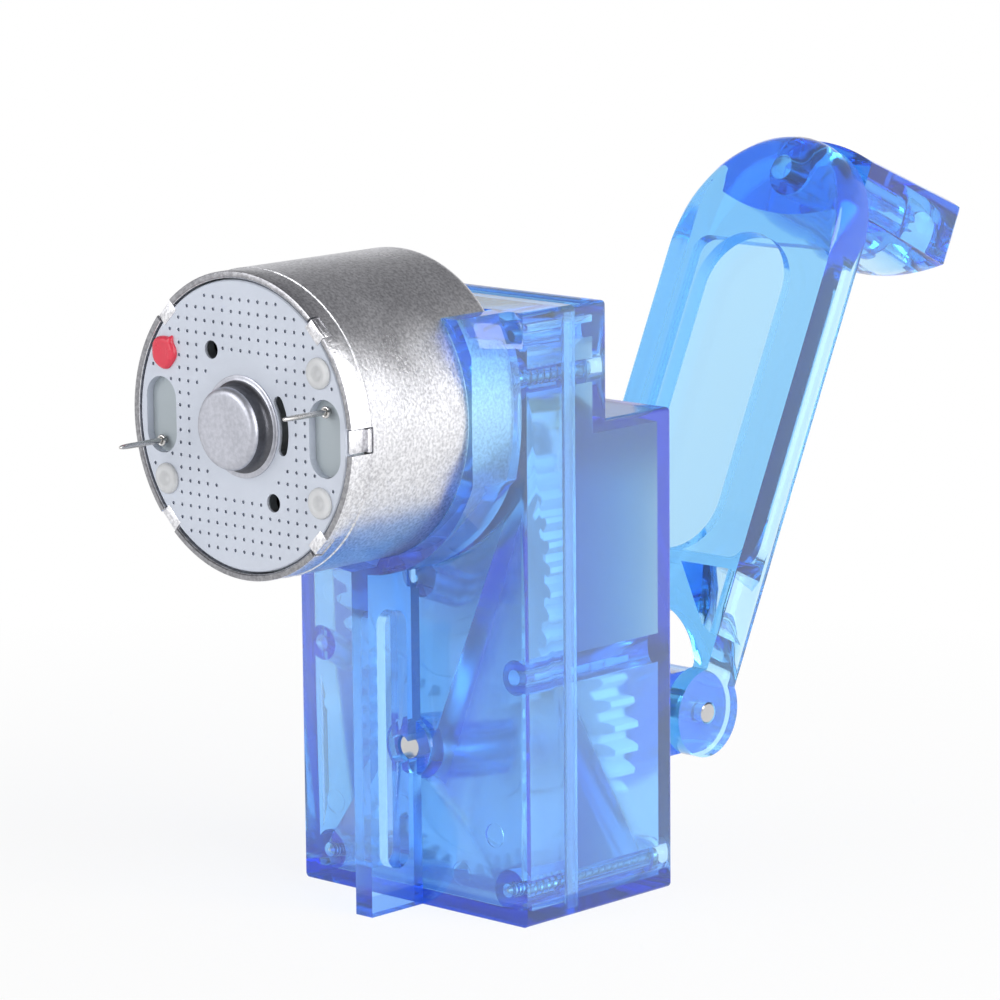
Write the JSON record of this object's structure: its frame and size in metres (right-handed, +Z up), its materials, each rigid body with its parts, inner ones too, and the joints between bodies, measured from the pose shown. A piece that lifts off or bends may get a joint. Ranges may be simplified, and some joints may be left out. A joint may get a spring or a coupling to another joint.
{
  "type": "hand crank generator",
  "caption": "Clear blue moulded gearbox with a round metal generator motor on its front and a folding crank arm with a spinning knob behind.",
  "frame": {"origin": "on the base, on the centre line, in the plane of the front plate that carries the motor", "axes": "+X to the right across the front plate, +Y from the motor to the crank, +Z up from the base"},
  "size_m": [0.033, 0.1119, 0.0767],
  "materials": {
    "clear_blue": "clear blue moulded plastic, polished",
    "zinc_steel": "zinc plated",
    "polished_steel": "ground and polished",
    "nickel_can": "satin nickel plate, fine grained",
    "plate_metal": "pale grey sheet metal",
    "ferrite": "sintered, dull",
    "white_nylon": "natural moulded",
    "brush_metal": "plain",
    "tinned_wire": "tinned",
    "bearing_bronze": "sintered, oiled",
    "lamination_steel": "punched laminations",
    "copper_wire": "enamelled copper"
  },
  "bodies": {
    "housing": {"front_shell": "clear_blue", "rear_cover": "clear_blue", "case_screws_long": "zinc_steel", "case_screws_short": "zinc_steel", "middle_axle": "polished_steel", "motor_can": "nickel_can", "motor_magnets": "ferrite", "motor_end_plate": "plate_metal", "brush_holder": "white_nylon", "motor_brushes": "brush_metal", "terminal_pins": "tinned_wire", "end_bush": "bearing_bronze", "shaft_bush": "bearing_bronze", "motor_screws": "zinc_steel"},
    "crank": {"crank_shaft": "polished_steel", "crank_gear": "white_nylon", "crank_hub": "clear_blue", "thrust_washer": "polished_steel"},
    "arm": {"crank_arm": "clear_blue", "hinge_pin": "polished_steel"},
    "knob": {"crank_knob": "clear_blue"},
    "first_step": {"step_gear_1": "white_nylon"},
    "second_step": {"step_gear_2": "white_nylon"},
    "third_step": {"step_gear_3": "white_nylon"},
    "rotor": {"motor_shaft": "polished_steel", "armature_core": "lamination_steel", "armature_windings": "copper_wire", "commutator": "copper_wire", "rotor_spacers": "white_nylon", "motor_pinion": "white_nylon"}
  },
  "joints": [
    {"name": "crank_turn", "type": "hinge", "parent": "housing", "child": "crank", "pos_m": [0, 0.027, 0.0172], "axis": [0, 1, 0], "continuous": true},
    {"name": "arm_fold", "type": "hinge", "parent": "crank", "child": "arm", "pos_m": [0, 0.0347, 0.0165], "axis": [-1, 0, 0], "range_deg": [-25.5, 154.5]},
    {"name": "knob_spin", "type": "hinge", "parent": "arm", "child": "knob", "pos_m": [0, 0.07068, 0.0687], "axis": [0, 0.9026, -0.4305], "continuous": true},
    {"name": "first_step_spin", "type": "hinge", "parent": "housing", "child": "first_step", "pos_m": [0, 0.0157, 0.036], "axis": [0, 1, 0], "continuous": true},
    {"name": "second_step_spin", "type": "hinge", "parent": "housing", "child": "second_step", "pos_m": [0, 0.0117, 0.0172], "axis": [0, 1, 0], "continuous": true},
    {"name": "third_step_spin", "type": "hinge", "parent": "housing", "child": "third_step", "pos_m": [0, 0.0083, 0.036], "axis": [0, 1, 0], "continuous": true},
    {"name": "rotor_spin", "type": "hinge", "parent": "housing", "child": "rotor", "pos_m": [0, -0.01, 0.0548], "axis": [0, 1, 0], "continuous": true}
  ],
  "couplings": [
    {"joint": "first_step_spin", "follows": "crank_turn", "ratio": -2.6154},
    {"joint": "second_step_spin", "follows": "crank_turn", "ratio": 6.8402},
    {"joint": "third_step_spin", "follows": "crank_turn", "ratio": -17.89},
    {"joint": "rotor_spin", "follows": "crank_turn", "ratio": 46.789}
  ]
}
